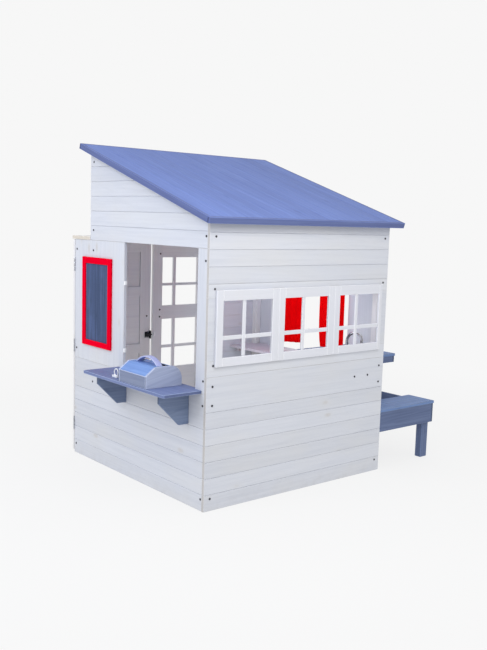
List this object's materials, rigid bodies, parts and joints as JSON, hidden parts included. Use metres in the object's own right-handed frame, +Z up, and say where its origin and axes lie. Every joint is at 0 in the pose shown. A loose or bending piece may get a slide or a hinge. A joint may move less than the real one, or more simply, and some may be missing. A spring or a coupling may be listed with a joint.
{
  "type": "children's playhouse",
  "caption": "Painted wooden playhouse with sloping blue roof, serving hatch, toy grill, chalkboard, double door, sink counter, picnic table and benches.",
  "frame": {"origin": "centre of the footprint, on the ground", "axes": "+X along the three-window wall towards the picnic table, +Y from the window wall towards the doors, +Z up"},
  "size_m": [1.658, 1.179, 1.5182],
  "materials": {
    "white_paint": "satin paint over tongue-and-groove softwood",
    "blue_stain": "semi-transparent blue wood stain",
    "blue_stain_dark": "semi-transparent blue wood stain",
    "red_paint": "satin red paint",
    "chalkboard": "matt chalkboard paint",
    "black_steel": "black zinc",
    "zinc_steel": "zinc plated",
    "chrome": "polished",
    "sink_metal": "brushed",
    "red_fabric": "plain woven cotton",
    "white_plastic": "moulded",
    "black_plastic": "moulded"
  },
  "bodies": {
    "house": {"window_wall_lower": "white_paint", "window_wall_upper": "white_paint", "window_frame_left": "white_paint", "window_frame_middle": "white_paint", "window_frame_right": "white_paint", "hatch_wall_lower": "white_paint", "hatch_wall_panel": "white_paint", "hatch_gable": "white_paint", "picnic_wall_lower": "white_paint", "picnic_wall_sides": "white_paint", "picnic_gable": "white_paint", "front_wall_lower": "white_paint", "front_wall_upper": "white_paint", "bay_side_wall": "white_paint", "bay_cap": "white_paint", "framing_posts": "white_paint", "wall_bolts": "zinc_steel", "jamb_blocks": "white_plastic", "roof_boards": "blue_stain", "roof_fascia": "blue_stain_dark", "roof_purlins": "blue_stain_dark", "serving_shelf": "blue_stain", "shelf_brackets": "blue_stain_dark", "chalkboard_frame": "red_paint", "chalkboard_panel": "chalkboard", "tool_ring": "white_plastic", "grill_base": "blue_stain_dark", "grill_hood": "blue_stain", "grill_grate": "black_steel", "grill_hood_hinges": "black_steel", "grill_hinge_pins": "zinc_steel", "door_hinge_jamb_leaves": "zinc_steel", "door_hinge_pins": "zinc_steel", "bench_seats": "blue_stain", "bench_frame": "blue_stain_dark", "table_top": "blue_stain", "table_frame": "blue_stain_dark", "picnic_legs": "blue_stain_dark", "curtain_rod": "white_plastic", "curtain_left": "red_fabric", "curtain_right": "red_fabric", "counter": "white_paint", "sink_basin": "sink_metal", "faucet_base": "chrome"},
    "left_door": {"door_left_frame": "white_paint", "door_left_panels": "white_paint", "door_left_hinge_leaves": "zinc_steel", "door_left_knob": "black_plastic", "door_latch_body": "black_steel"},
    "right_door": {"door_right_frame": "white_paint", "door_right_muntins": "white_paint", "door_right_panel": "white_paint", "door_right_hinge_leaves": "zinc_steel", "door_right_pull": "black_steel", "door_latch_keeper": "white_plastic"},
    "latch_bolt": {"door_latch_bolt": "black_steel"},
    "grill_cover": {"grill_lid": "blue_stain", "grill_lid_handle": "blue_stain", "grill_lid_hinges": "black_steel"},
    "spout": {"faucet_spout": "chrome"}
  },
  "joints": [
    {"name": "left_door_swing", "type": "hinge", "parent": "house", "child": "left_door", "pos_m": [-0.6473, 0.54894, 0.543], "axis": [0, 0, 1], "range_deg": [0, 150]},
    {"name": "right_door_swing", "type": "hinge", "parent": "house", "child": "right_door", "pos_m": [0.1593, 0.54894, 0.543], "axis": [0, 0, 1], "range_deg": [-150, 0]},
    {"name": "latch_slide", "type": "slide", "parent": "left_door", "child": "latch_bolt", "axis": [1, 0, 0], "range_m": [0, 0.0175]},
    {"name": "grill_cover_lift", "type": "hinge", "parent": "house", "child": "grill_cover", "pos_m": [-0.724, -0.26956, 0.5875], "axis": [0, 1, 0], "range_deg": [0, 100]},
    {"name": "spout_swivel", "type": "hinge", "parent": "house", "child": "spout", "pos_m": [0.299, -0.49856, 0.6], "axis": [0, 0, 1], "range_deg": [-60, 38]}
  ]
}
